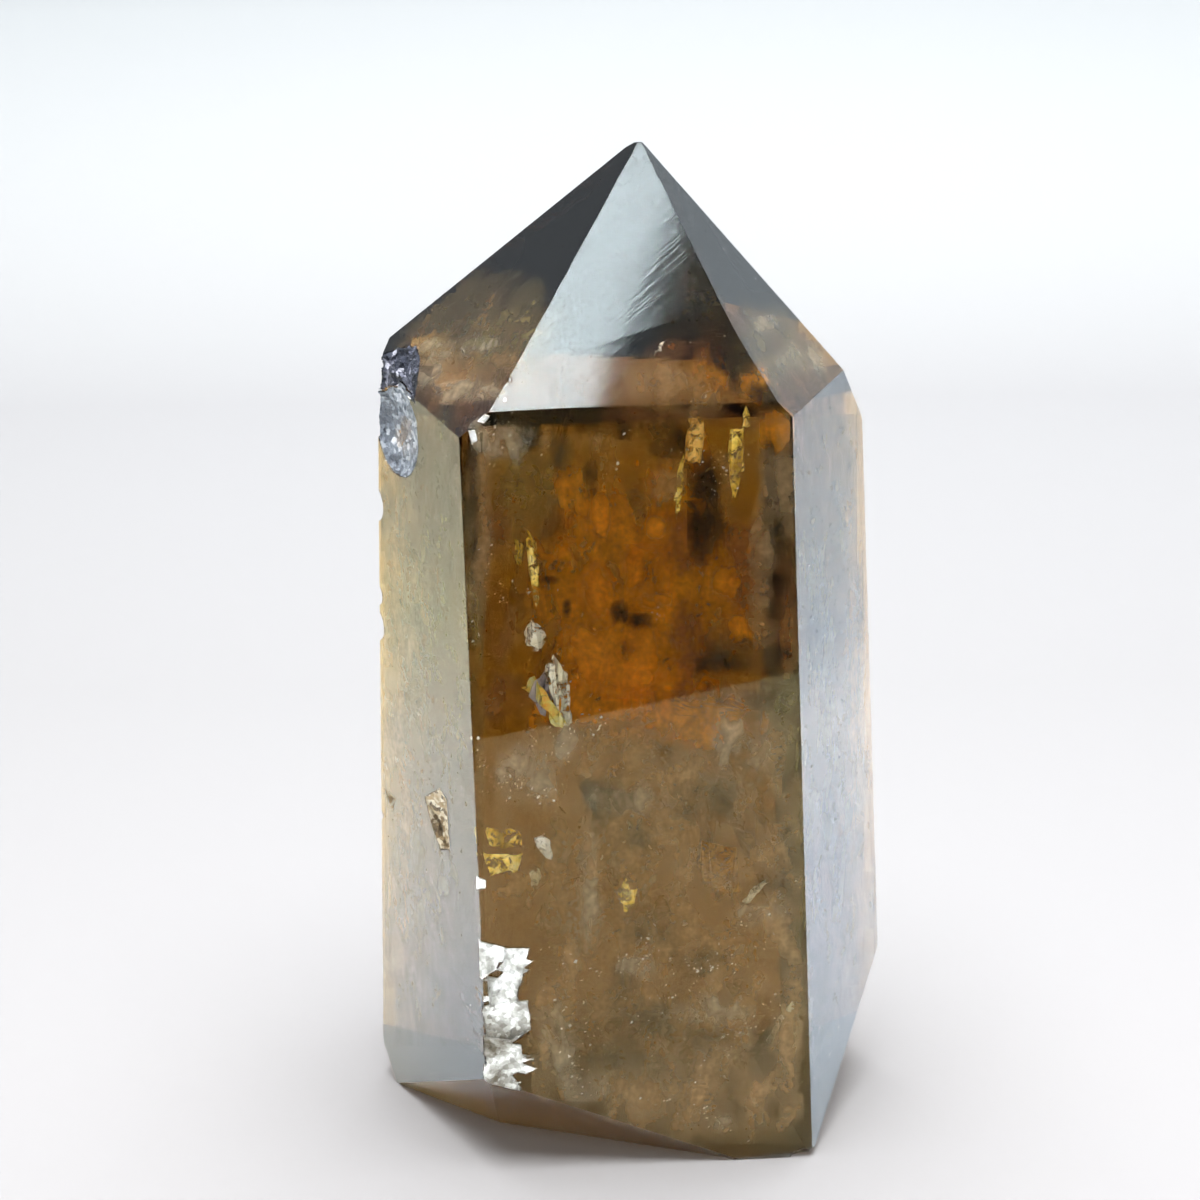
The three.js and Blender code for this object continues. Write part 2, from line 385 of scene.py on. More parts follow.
def broken_corner():
    rim = [(-15.2, 79.3), (-12.9, 80.4), (-11, 81), (-9.3, 80.2), (-8.2, 79.1)]
    floor_line = [(-10.6, 78.6, 1.1), (-8, 78.3, 1.5), (-5.6, 77.5, 0.9), (-3.4, 77, 0.1)]
    patch = [on_face("tip_left", a, h, -lift) for a, h in rim for lift in (0, 2 * LIFT)]
    patch += [on_face("left", a, h, d) for a, h, d in floor_line]
    patch += [on_face("left", a, h, -2 * LIFT) for a, h, d in floor_line]
    ledge = [(-13, 79.4, 0.9), (-7.4, 78.4, 1.2), (-9, 76.4, 0.5), (-13, 75.8, 0.6)]
    return [hull(patch), shard("left", ledge)]


def broken_steps():
    outlines = [
        [(-17.6, 25.4, 0.5), (-15, 24.6, 0.1), (-16, 22, 0.5), (-17.6, 21, 0.8)],
        [(-15.2, 24.5, 0.6), (-12.6, 24.4, 0.15), (-13.6, 21.2, 0.2), (-14, 18.8, 0.4), (-15.4, 19.6, 0.9)],
        [(-16.9, 21.6, 0.7), (-14.6, 21, 0.9), (-13.7, 18.6, 0.4), (-16.8, 17.8, 0.8)],
        [(-17.4, 18.4, 0.4), (-12.9, 18.8, 0.2), (-12.6, 15.4, 0.2), (-14.8, 14, 1), (-17.2, 14.6, 0.7)],
        [(-17.5, 14.8, 0.4), (-13.6, 14, 0.3), (-13.5, 11, 0.3), (-15.4, 10.6, 0.9), (-17.2, 11.8, 0.5)],
        [(-17.6, 11.9, 0.6), (-15, 11.3, 0.8), (-13.7, 9.2, 0.2), (-14.2, 8, 0.3), (-17.4, 9, 0.9)],
        [(-17.8, 32.3, 0.5), (-16.6, 31.8, 0.15), (-16.7, 30.9, 0.1), (-17.8, 30.6, 0.6)],
    ]
    return [shard("front", outline) for outline in [*outlines, *splinters()]]


def splinters():
    """Small overlapping chips that fill the stepped break between its larger ledges."""
    rnd = random.Random(11)
    outlines = []
    for i in range(SPLINTERS):
        height = STEPS_FOOT + STEPS_HEIGHT * i / SPLINTERS
        along = rnd.uniform(STEPS_LEFT, STEPS_RIGHT)
        wide, tall = rnd.uniform(0.7, 1.5), rnd.uniform(0.3, 0.8)
        deep = rnd.uniform(0.25, 0.7) * (1 - 0.5 * (along - STEPS_LEFT) / STEPS_WIDTH)
        outlines.append([
            (along - wide, height + rnd.uniform(-0.3, 0.3), deep),
            (along - 0.3 * wide, height + tall, 0.5 * deep),
            (along + wide, height + rnd.uniform(-0.2, 0.4), 0.3 * deep),
            (along + 0.2 * wide, height - tall, deep),
        ])
    return outlines


def pits():
    large = [
        (-4.1, 36.2, 0.1), (-0.8, 38.5, 0.15), (0.6, 37.8, 0.5),
        (1, 32.6, 0.6), (-1, 31.7, 0.8), (-2.9, 33.9, 0.9),
    ]
    small = [(-12.9, 33.6, 0.15), (-10.5, 33.4, 0.3), (-11.3, 31.6, 0.7)]
    return [shard("left", large), shard("left", small)]


def edge_notches():
    notches = [
        (-12.3, 64.2, 1.7, 0.9),
        (-13, 54.6, 1.2, 0.8),
        (-13.2, 51.3, 1.7, 1),
        (-14.2, 30.2, 0.5, 0.6),
        (-14.5, 24.6, 0.9, 0.35),
    ]
    return [scoop("left", a - 0.2, h, d * 1.6, half, d) for a, h, half, d in notches]


def small_chips():
    return [
        shard("front", [(-16.6, 77.9, 0.1), (-15.9, 78.7, 0.1), (-15.1, 78.3, 0.3), (-15.7, 77.6, 0.5)]),
        shard("front", [(-17.2, 77, 0.4), (-16.5, 77.1, 0.2), (-16.2, 76, 0.1), (-16.9, 75.5, 0.4)]),
        scoop("tip_front", -12.6, 81.2, 0.25, 0.35, 0.2),
        scoop("tip_front", -13.1, 79.7, 0.25, 0.3, 0.2),
    ]


CUTS = {
    "clear": lambda: [*edge_notches(), scoop("front", 15, 0.2, 2.2, 0.8, 0.9)],
    "corner": broken_corner,
    "white": lambda: [*broken_steps(), *small_chips()],
    "scar": lambda: [scoop("left", -7.6, 73.5, 4.4, 4.9, 1.3)],
    "pit": pits,
}


def cut_stone():
    """The stone with its broken places cut out, and the faces each kind of cut left behind."""
    stone = add("stone", stone_mesh())
    marks = {kind: bpy.data.materials.new("cut_" + kind) for kind in ("whole", *CUTS)}
    stone.data.materials.append(marks["whole"])
    cutters = bpy.data.collections.new("cutters")
    for kind, make in CUTS.items():
        for bm in make():
            cutter = bpy.data.objects.new("cutter", mesh_from(bm, "cutter"))
            cutter.data.materials.append(marks[kind])
            cutters.objects.link(cutter)
    bpy.context.scene.collection.children.link(cutters)
    cut = stone.modifiers.new("cuts", "BOOLEAN")
    cut.operand_type = "COLLECTION"
    cut.collection = cutters
    cut.solver = "EXACT"
    cut.material_mode = "TRANSFER"
    ready = stone.evaluated_get(bpy.context.evaluated_depsgraph_get())
    mesh = bpy.data.meshes.new_from_object(ready)
    kinds = [material.name.removeprefix("cut_") for material in mesh.materials]
    broken = {kind: [p.index for p in mesh.polygons if kinds[p.material_index] == kind] for kind in CUTS}
    for cutter in list(cutters.objects):
        bpy.data.objects.remove(cutter)
    bpy.data.collections.remove(cutters)
    stone.modifiers.clear()
    stone.data = mesh
    for polygon in mesh.polygons:
        polygon.material_index = 0
    mesh.materials.clear()
    for material in marks.values():
        bpy.data.materials.remove(material)
    stone.name = "crystal"
    return stone, broken


def in_stone_millimetres(bm):
    for v in bm.verts:
        v.co = v.co / MM - AXIS


def refine(bm, longest):
    """Splits the faces into triangles until no edge is longer than this."""
    for _ in range(8):
        bmesh.ops.triangulate(bm, faces=bm.faces)
        long_edges = [e for e in bm.edges if e.calc_length() > longest]
        if not long_edges:
            break
        bmesh.ops.subdivide_edges(bm, edges=long_edges, cuts=1)
    bmesh.ops.triangulate(bm, faces=bm.faces)


def hackle(point, size, depth):
    """The height of a surface broken into small tilted facets.

    The large factors give each facet a tilt and a level of its own."""
    spot = point / size
    centre = noise.voronoi(spot)[1][0]
    tilt = noise.cell_vector(centre * 97) - Vector((0.5, 0.5, 0.5))
    level = 0.5 + 0.5 * noise.cell(centre * 61)
    return max(0.0, depth * (level + 1.3 * tilt.dot(spot - centre)))


def pulled_inside(point, margin):
    for normal, distance in STONE_PLANES:
        over = normal.dot(point) - distance + margin
        if over > 0:
            point = point - normal * over
    return point


def crust(name, stone, polygons, material, grain=0.13, facet=0.9, depth=0.22):
    """A thin hackly skin over broken faces, standing just off the glass, into the break."""
    bm = bmesh.new()
    bm.from_mesh(stone.data)
    kept = set(polygons)
    bmesh.ops.delete(bm, geom=[f for f in bm.faces if f.index not in kept], context="FACES")
    in_stone_millimetres(bm)
    refine(bm, grain)
    bm.normal_update()
    for v in bm.verts:
        rough = hackle(v.co, facet, depth) + 0.4 * hackle(v.co * 1.7, facet * 0.4, depth)
        v.co = pulled_inside(v.co + v.normal * (CRUST_GAP + rough), CRUST_MARGIN)
    piece = add(name, mesh_from(bm, name))
    piece.data.materials.append(material)
    return piece


def net(bm, steps, spot_at, fade_at, margin):
    """A square net of points, kept where it is inside the stone and hasn't faded out."""
    fade = bm.verts.layers.float["fade"]
    rows = []
    for i in range(steps + 1):
        row = []
        for j in range(steps + 1):
            u, v = 2 * j / steps - 1, 2 * i / steps - 1
            vert = bm.verts.new(spot_at(u, v))
            vert[fade] = max(0.0, min(1.0, fade_at(u, v)))
            row.append(vert)
        rows.append(row)
    for low, high in zip(rows, rows[1:]):
        for ring in zip(low, low[1:], high[1:], high):
            if all(inside(v.co, margin) for v in ring) and max(v[fade] for v in ring) > 0:
                bm.faces.new(ring).smooth = True


def veil(bm, seed, centre, azimuth, rise, half_width, half_height):
    """A wavy healed crack that crosses the stone and thins out towards its rim."""
    r = math.radians(rise)
    facing = outward(azimuth) * math.cos(r) + Vector((0, 0, math.sin(r)))
    right = outward(azimuth + 90)
    up = facing.cross(right)

    def spot_at(u, v):
        ripple = noise.fractal(Vector((u * 1.3, v * 1.3, seed)), 0.9, 2, 3)
        wave = ripple * VEIL_WAVE + VEIL_BEND * (u * u - v * v * 0.5)
        return Vector(centre) + right * (u * half_width) + up * (v * half_height) + facing * wave

    def fade_at(u, v):
        return 1.6 * (1 - math.hypot(u, v) + 0.25 * noise.noise(Vector((u * 2.5, v * 2.5, seed + 9))))

    net(bm, VEIL_STEPS, spot_at, fade_at, VEIL_MARGIN)


def cloud(bm, face, depth, px, py, half_width, half_height):
    """A soft patch this deep behind a face, where the photo shows it."""
    def spot_at(u, v):
        x, y = px + u * half_width, py + v * half_height
        return seen_at(x, y, face, depth * (1 + 0.4 * noise.noise(Vector((x / 30, y / 30, depth)))))

    def fade_at(u, v):
        return 1.15 - u * u - v * v

    net(bm, CLOUD_STEPS, spot_at, fade_at, CLOUD_MARGIN)


def camera_axes():
    look = Vector((0, math.cos(CAMERA_DOWN), -math.sin(CAMERA_DOWN)))
    level = Vector((1, 0, 0))
    upright = level.cross(look)
    right = level * math.cos(CAMERA_ROLL) + upright * math.sin(CAMERA_ROLL)
    up = upright * math.cos(CAMERA_ROLL) - level * math.sin(CAMERA_ROLL)
    return look, right, up


def seen_at(px, py, face, depth):
    """The point this deep behind a face that the photo shows at a pixel, through the glass."""
    look, right, up = camera_axes()
    focal = CAMERA_LENS / CAMERA_SENSOR * PHOTO_SIZE
    ray = (look * focal + right * (px - PHOTO_SIZE / 2) - up * (py - PHOTO_SIZE / 2)).normalized()
    normal, distance = FACES[face]
    hit = CAMERA_PLACE + ray * ((distance - normal.dot(CAMERA_PLACE)) / normal.dot(ray))
    cosine = -ray.dot(normal)
    bent = math.sqrt(1 - (1 - cosine ** 2) / IOR ** 2)
    inward = ray / IOR + normal * (cosine / IOR - bent)
    return hit + inward * (depth / bent)


def flake_outline(centre, across, rnd):
    """A small thin chip turned at random, as a ring of points."""
    normal = Vector((rnd.gauss(0, 1), rnd.gauss(0, 1), rnd.gauss(0, 1))).normalized()
    side = normal.orthogonal().normalized()
    other = normal.cross(side)
    count = rnd.choice((3, 4, 4, 5))
    start = rnd.uniform(0, math.tau)
    stretch = rnd.uniform(0.35, 1)
    ring = []
    for i in range(count):
        angle = start + (i + rnd.uniform(-0.25, 0.25)) * math.tau / count
        reach = across / 2 * rnd.uniform(0.6, 1)
        ring.append(centre + side * (reach * math.cos(angle)) + other * (reach * stretch * math.sin(angle)))
    return ring


def flakes(name, spots, material, seed):
    """One mesh of small chips: spots gives the centre and the width of each."""
    rnd = random.Random(seed)
    bm = bmesh.new()
    for centre, across in spots:
        ring = flake_outline(centre, across, rnd)
        if all(inside(point, FLAKE_MARGIN) for point in ring):
            bm.faces.new([bm.verts.new(point) for point in ring])
    piece = add(name, mesh_from(bm, name))
    piece.data.materials.append(material)
    return piece


def node(nt, kind, inputs=None, **settings):
    made = nt.nodes.new("ShaderNode" + kind)
    for key, value in settings.items():
        setattr(made, key, value)
    for key, value in (inputs or {}).items():
        if isinstance(value, bpy.types.NodeSocket):
            nt.links.new(value, made.inputs[key])
        else:
            made.inputs[key].default_value = value
    return made


def new_material(name):
    mat = bpy.data.materials.new(name)
    mat.use_nodes = True
    nt = mat.node_tree
    return mat, nt, nt.nodes["Principled BSDF"]


def object_place(nt):
    return node(nt, "TexCoord").outputs["Object"]


def noise_at(nt, where, size, detail=4.0, roughness=0.55, distortion=0.0):
    """Noise whose lumps are about this many millimetres across."""
    inputs = {
        "Vector": where,
        "Scale": 0.5 / (size * MM),
        "Detail": detail,
        "Roughness": roughness,
        "Distortion": distortion,
    }
    return node(nt, "TexNoise", inputs).outputs["Fac"]


def stretched(nt, along, spacing, length):
    """Coordinates for strokes that run along a direction, in strokes rather than millimetres."""
    where = object_place(nt)
    side = along.orthogonal().normalized()
    parts = []
    for direction, size in ((along, length), (side, spacing), (along.cross(side), spacing)):
        scaled = tuple(direction.normalized() / (size * MM))
        parts.append(node(nt, "VectorMath", {0: where, 1: scaled}, operation="DOT_PRODUCT").outputs["Value"])
    return node(nt, "CombineXYZ", {"X": parts[0], "Y": parts[1], "Z": parts[2]}).outputs["Vector"]


def stepped(nt, value, low, high):
    inputs = {"Value": value, "From Min": low, "From Max": high}
    return node(nt, "MapRange", inputs).outputs["Result"]


def times(nt, a, b):
    return node(nt, "Math", {0: a, 1: b}, operation="MULTIPLY").outputs["Value"]


def plus(nt, a, b):
    return node(nt, "Math", {0: a, 1: b}, operation="ADD").outputs["Value"]


def ramp(nt, value, stops):
    made = node(nt, "ValToRGB", {"Fac": value})
    points = made.color_ramp.elements
    while len(points) < len(stops):
        points.new(0.5)
    for point, (position, colour) in zip(points, stops):
        point.position = position
        point.color = (*colour, 1)
    return made.outputs["Color"]


def quartz_material():
    mat, nt, bsdf = new_material("smoky_quartz")
    stroked = node(nt, "Attribute", attribute_name="stroked").outputs["Fac"]
    brushed = node(nt, "Attribute", attribute_name="brushed").outputs["Fac"]
    sawn = node(nt, "Attribute", attribute_name="sawn").outputs["Fac"]
    slanting = stretched(nt, STROKE, STROKE_SPACING, STROKE_LENGTH)
    upright = stretched(nt, UPRIGHT, GROOVE_SPACING, GROOVE_LENGTH)
    where = node(nt, "Mix", {0: stroked, 4: upright, 5: slanting}, data_type="VECTOR").outputs[1]
    strokes = node(nt, "TexNoise", {"Vector": where, "Scale": 1, "Detail": 1}).outputs["Fac"]
    depth = plus(nt, times(nt, stroked, STROKE_DEPTH), times(nt, brushed, GROOVE_DEPTH))
    bump = node(nt, "Bump", {"Height": times(nt, strokes, depth), "Strength": 1, "Distance": MM})
    rough = plus(nt, times(nt, brushed, GROOVE_ROUGHNESS), times(nt, sawn, SAWN_ROUGHNESS))
    rough = plus(nt, rough, times(nt, stroked, STROKE_ROUGHNESS))
    nt.links.new(bump.outputs["Normal"], bsdf.inputs["Normal"])
    nt.links.new(rough, bsdf.inputs["Roughness"])
    bsdf.inputs["Base Color"].default_value = (1, 1, 1, 1)
    bsdf.inputs["IOR"].default_value = IOR
    bsdf.inputs["Transmission Weight"].default_value = 1
    absorb = node(nt, "VolumeAbsorption", {"Color": (*SMOKE_COLOUR, 1), "Density": SMOKE_DENSITY})
    nt.links.new(absorb.outputs["Volume"], nt.nodes["Material Output"].inputs["Volume"])
    return mat


def break_material(name, stops, facet=0.5, facets=0.35, shine=0.5, lift=0.0):
    """A broken, sugary surface: small facets of several shades. Lift makes it paler towards its top."""
    mat, nt, bsdf = new_material(name)
    where = object_place(nt)
    cells = node(nt, "TexVoronoi", {"Vector": where, "Scale": 1 / (facet * MM)}, feature="F1")
    shade = node(nt, "SeparateColor", {"Color": cells.outputs["Color"]}).outputs["Red"]
    broad = noise_at(nt, where, 2.2, detail=5, distortion=0.5)
    mixed = plus(nt, times(nt, shade, facets), times(nt, broad, 1 - facets))
    height = node(nt, "SeparateXYZ", {"Vector": where}).outputs["Z"]
    mixed = plus(nt, mixed, times(nt, stepped(nt, height, PALE_FROM, PALE_TO), lift))
    nt.links.new(ramp(nt, mixed, stops), bsdf.inputs["Base Color"])
    fine = noise_at(nt, where, 0.12, detail=3)
    bump = node(nt, "Bump", {"Height": plus(nt, fine, shade), "Strength": 1, "Distance": 0.03 * MM})
    nt.links.new(bump.outputs["Normal"], bsdf.inputs["Normal"])
    bsdf.inputs["Roughness"].default_value = 0.35
    bsdf.inputs["Specular IOR Level"].default_value = shine
    return mat


def film_material(name, colour, cover, bare, lump):
    """A wispy film of tiny bubbles: lit from both sides, clear between its wisps."""
    mat, nt, bsdf = new_material(name)
    nt.nodes.remove(bsdf)
    upright = stretched(nt, UPRIGHT, lump, 1.8 * lump)
    inputs = {"Vector": upright, "Scale": 0.5, "Detail": 3, "Roughness": 0.55, "Distortion": 0.5}
    wisps = node(nt, "TexNoise", inputs)
    fade = node(nt, "Attribute", attribute_name="fade").outputs["Fac"]
    lumpy = plus(nt, times(nt, wisps.outputs["Fac"], WISP_WEIGHT), times(nt, fade, RIM_WEIGHT))
    body = stepped(nt, lumpy, bare, bare + FILM_SOFTNESS)
    grain = plus(nt, times(nt, noise_at(nt, object_place(nt), 0.3, detail=1), 0.8), 0.5)
    film = times(nt, times(nt, body, cover), grain)
    front = node(nt, "BsdfDiffuse", {"Color": (*colour, 1)})
    behind = node(nt, "BsdfTranslucent", {"Color": (*colour, 1)})
    lit = node(nt, "MixShader", {0: 0.5, 1: front.outputs["BSDF"], 2: behind.outputs["BSDF"]})
    clear = node(nt, "BsdfTransparent")
    shown = node(nt, "MixShader", {0: film, 1: clear.outputs["BSDF"], 2: lit.outputs["Shader"]})
    nt.links.new(shown.outputs["Shader"], nt.nodes["Material Output"].inputs["Surface"])
    return mat


def flake_material(name, stops, shine=0.0, holes=0.0):
    """A chip's own shades, with a mirror-like share, and how far fine noise eats it away, from 0 to 1."""
    mat, nt, bsdf = new_material(name)
    where = object_place(nt)
    nt.links.new(ramp(nt, noise_at(nt, where, 0.6, detail=4), stops), bsdf.inputs["Base Color"])
    bsdf.inputs["Roughness"].default_value = 0.4
    bsdf.inputs["Metallic"].default_value = shine
    if holes:
        grain = noise_at(nt, where, 0.5, detail=6, roughness=0.7, distortion=0.8)
        nt.links.new(stepped(nt, grain, 0.3 + 0.2 * holes, 0.42 + 0.2 * holes), bsdf.inputs["Alpha"])
    return mat


def mark_finishes(mesh):
    """Face attributes: the faces with slanting strokes, those with upright ones, and the sawn base."""
    fold = rounding(FACES["tip_front"], FACES["tip_front_lower"])
    kinds = {
        "stroked": [FACES["tip_front"], FACES["tip_front_lower"], *fold],
        "brushed": [FACES["left"], FACES["right"]],
        "sawn": BASE_PLANES,
    }
    for kind, planes in kinds.items():
        layer = mesh.attributes.new(kind, "FLOAT", "FACE")
        for polygon in mesh.polygons:
            middle = polygon.center / MM - AXIS
            for normal, distance in planes:
                same_facing = polygon.normal.dot(normal) > SAME_FACING
                if same_facing and abs(normal.dot(middle) - distance) < SAME_PLANE:
                    layer.data[polygon.index].value = 1


def camera():
    data = bpy.data.cameras.new("camera")
    data.lens = CAMERA_LENS
    data.sensor_width = CAMERA_SENSOR
    data.clip_start = 0.01
    look, right, up = camera_axes()
    spot = place(CAMERA_PLACE)
    obj = bpy.data.objects.new("camera", data)
    obj.matrix_world = Matrix((
        (right.x, up.x, -look.x, spot.x),
        (right.y, up.y, -look.y, spot.y),
        (right.z, up.z, -look.z, spot.z),
        (0, 0, 0, 1),
    ))
    bpy.context.scene.collection.objects.link(obj)
    bpy.context.scene.camera = obj


def sheet(name, x0, x1, y0, y1, z, colour, slant=0.0):
    mesh = bpy.data.meshes.new(name)
    corners = [(x0, y0 + slant * x0, z), (x1, y0 + slant * x1, z), (x1, y1, z), (x0, y1, z)]
    mesh.from_pydata(corners, [], [(0, 1, 2, 3)])
    mat, nt, bsdf = new_material(name)
    bsdf.inputs["Base Color"].default_value = (*colour, 1)
    bsdf.inputs["Roughness"].default_value = 0.9
    bsdf.inputs["Specular IOR Level"].default_value = 0.1
    mesh.materials.append(mat)
    piece = add(name, mesh)
    return piece


def floor():
    """A pale floor that the camera sees, with painted shading and a faint painted glow, and the brighter one
    that lights the stone and shows in it.

    What the stone mirrors from before it is the edge of a cloth and a dark table."""
    backdrop = sheet("backdrop", -REACH, REACH, -REACH, REACH, -FLOOR_DROP / 4, (1, 1, 1))
    # Painted shading: the floor's colour is graded from the stone backwards.
    grade(backdrop.data.materials[0], "Y", 0, 0.5, BACKDROP_PAINTED_SHADING)
    bsdf = backdrop.data.materials[0].node_tree.nodes["Principled BSDF"]
    # A faint warm glow painted into the backdrop: painted light that lifts and warms the stone's shadow.
    bsdf.inputs["Emission Color"].default_value = (*PAINTED_GLOW_TINT, 1)
    bsdf.inputs["Emission Strength"].default_value = PAINTED_GLOW_STRENGTH
    backdrop.visible_glossy = False
    backdrop.visible_transmission = False
    backdrop.visible_diffuse = False
    backdrop.visible_shadow = False
    behind = sheet("floor_behind", -REACH, REACH, FLOOR_SPLIT, REACH, -FLOOR_DROP, FLOOR_WHITE)
    behind.visible_glossy = False
    mirrored_drop = -FLOOR_DROP * 0.75
    mirrored_floor = sheet("floor_mirrored", -REACH, REACH, FLOOR_SPLIT, REACH, mirrored_drop, (1, 1, 1))
    # Its colours are painted reflections, seen only in the stone's faces.
    grade(mirrored_floor.data.materials[0], "X", MIRRORED_START, MIRRORED_END, PAINTED_REFLECTION_TINTS)
    before = sheet("floor_before", -REACH, REACH, -REACH, FLOOR_SPLIT, -FLOOR_DROP, FLOOR_WHITE)
    before.visible_glossy = False
    cloth = sheet(
        "cloth_before", -CLOTH_HALF_WIDTH, CLOTH_HALF_WIDTH, CLOTH_EDGE, FLOOR_SPLIT,
        -FLOOR_DROP / 2, CLOTH_COLOUR, CLOTH_SLANT
    )
    table = sheet("table_before", -REACH, REACH, -REACH, FLOOR_SPLIT, -TABLE_DROP, TABLE_COLOUR)
    for mirrored in (cloth, table, mirrored_floor):
        mirrored.visible_diffuse = False
        mirrored.visible_transmission = False
        mirrored.visible_shadow = False
    for unseen in (behind, before, cloth, table, mirrored_floor):
        unseen.visible_camera = False


def grade(mat, axis, start, end, stops):
    """Colours a sheet by a ramp that runs along one axis, from start to end."""
    nt = mat.node_tree
    along = node(nt, "SeparateXYZ", {"Vector": object_place(nt)}).outputs[axis]
    tone = ramp(nt, stepped(nt, along, start, end), stops)
    nt.links.new(tone, nt.nodes["Principled BSDF"].inputs["Base Color"])


def area_light(name, spot, target, size, power, colour=(1, 1, 1), spread=180):
    data = bpy.data.lights.new(name, "AREA")
    data.shape = "RECTANGLE"
    data.size, data.size_y = size
    data.energy = power
    data.color = colour
    data.spread = math.radians(spread)
    obj = bpy.data.objects.new(name, data)
    obj.location = spot
    obj.rotation_euler = (Vector(target) - Vector(spot)).to_track_quat("-Z", "Y").to_euler()
    obj.visible_camera = False
    bpy.context.scene.collection.objects.link(obj)


def window_card():
    """A bright card before the stone. Its slanting right edge is what the front tip face mirrors."""
    mesh = bpy.data.meshes.new("window_card")
    corners = [(x, WINDOW_PLACE, z) for x, z in WINDOW_OUTLINE]
    mesh.from_pydata(corners, [], [tuple(range(len(corners)))])
    mat, nt, bsdf = new_material("window_light")
    nt.nodes.remove(bsdf)
    glow = node(nt, "Emission", {"Color": (*WINDOW_COLOUR, 1), "Strength": WINDOW_GLOW})
    nt.links.new(glow.outputs["Emission"], nt.nodes["Material Output"].inputs["Surface"])
    mesh.materials.append(mat)
    card = add("window_card", mesh)
    card.visible_camera = False


def room():
    data = bpy.data.worlds.new("studio")
    data.use_nodes = True
    nt = data.node_tree
    split = node(nt, "SeparateXYZ", {"Vector": node(nt, "TexCoord").outputs["Generated"]})
    behind = stepped(nt, split.outputs["Y"], -0.5, 0.3)
    mix = node(nt, "Mix", {"Factor": behind}, data_type="RGBA")
    mix.inputs[6].default_value = (*ROOM_FRONT, 1)
    mix.inputs[7].default_value = (*ROOM_BACK, 1)
    nt.links.new(mix.outputs[2], nt.nodes["Background"].inputs["Color"])
    bpy.context.scene.world = data


def lights():
    window_card()
    room()
    area_light(
        "overhead", OVERHEAD_PLACE, OVERHEAD_TARGET, OVERHEAD_SIZE, OVERHEAD_POWER, spread=OVERHEAD_SPREAD
    )
    area_light("side_wall", SIDE_PLACE, SIDE_TARGET, SIDE_SIZE, SIDE_POWER, SIDE_COLOUR)


# What lies inside, by kind: its colour, how much it covers, where it thins out, and the size of its lumps.
FILMS = {
    "pale": ((0.92, 0.86, 0.75), 0.8, 1.05, 1.2),
    "tan": ((0.85, 0.6, 0.36), 0.65, 0.95, 1.5),
    "olive": ((0.42, 0.38, 0.21), 0.7, 0.9, 1.2),
    "glow": ((1.0, 0.42, 0.04), 1.0, 0.85, 1.3),
    "rust": ((0.4, 0.18, 0.07), 0.8, 0.95, 1.5),
    "umber": ((0.13, 0.1, 0.055), 0.7, 0.95, 1.1),
    "dusk": ((0.055, 0.042, 0.018), 0.95, 0.72, 1.2),
}
# Each healed crack: its middle, the way it faces, its rise, and its half width and height.
VEILS = {
    "pale": [((-4, -8, 28), 18, -12, 14, 16), ((0, -7, 10), 0, 55, 20, 10), ((-10, 6, 60), -100, 10, 12, 20)],
    "tan": [
        ((-2, -6, 52), 25, 5, 16, 22), ((6, -4, 38), -40, -10, 15, 20), ((12, 4, 26), 100, 20, 12, 14),
        ((3, 8, 52), 170, 10, 14, 24),
    ],
}
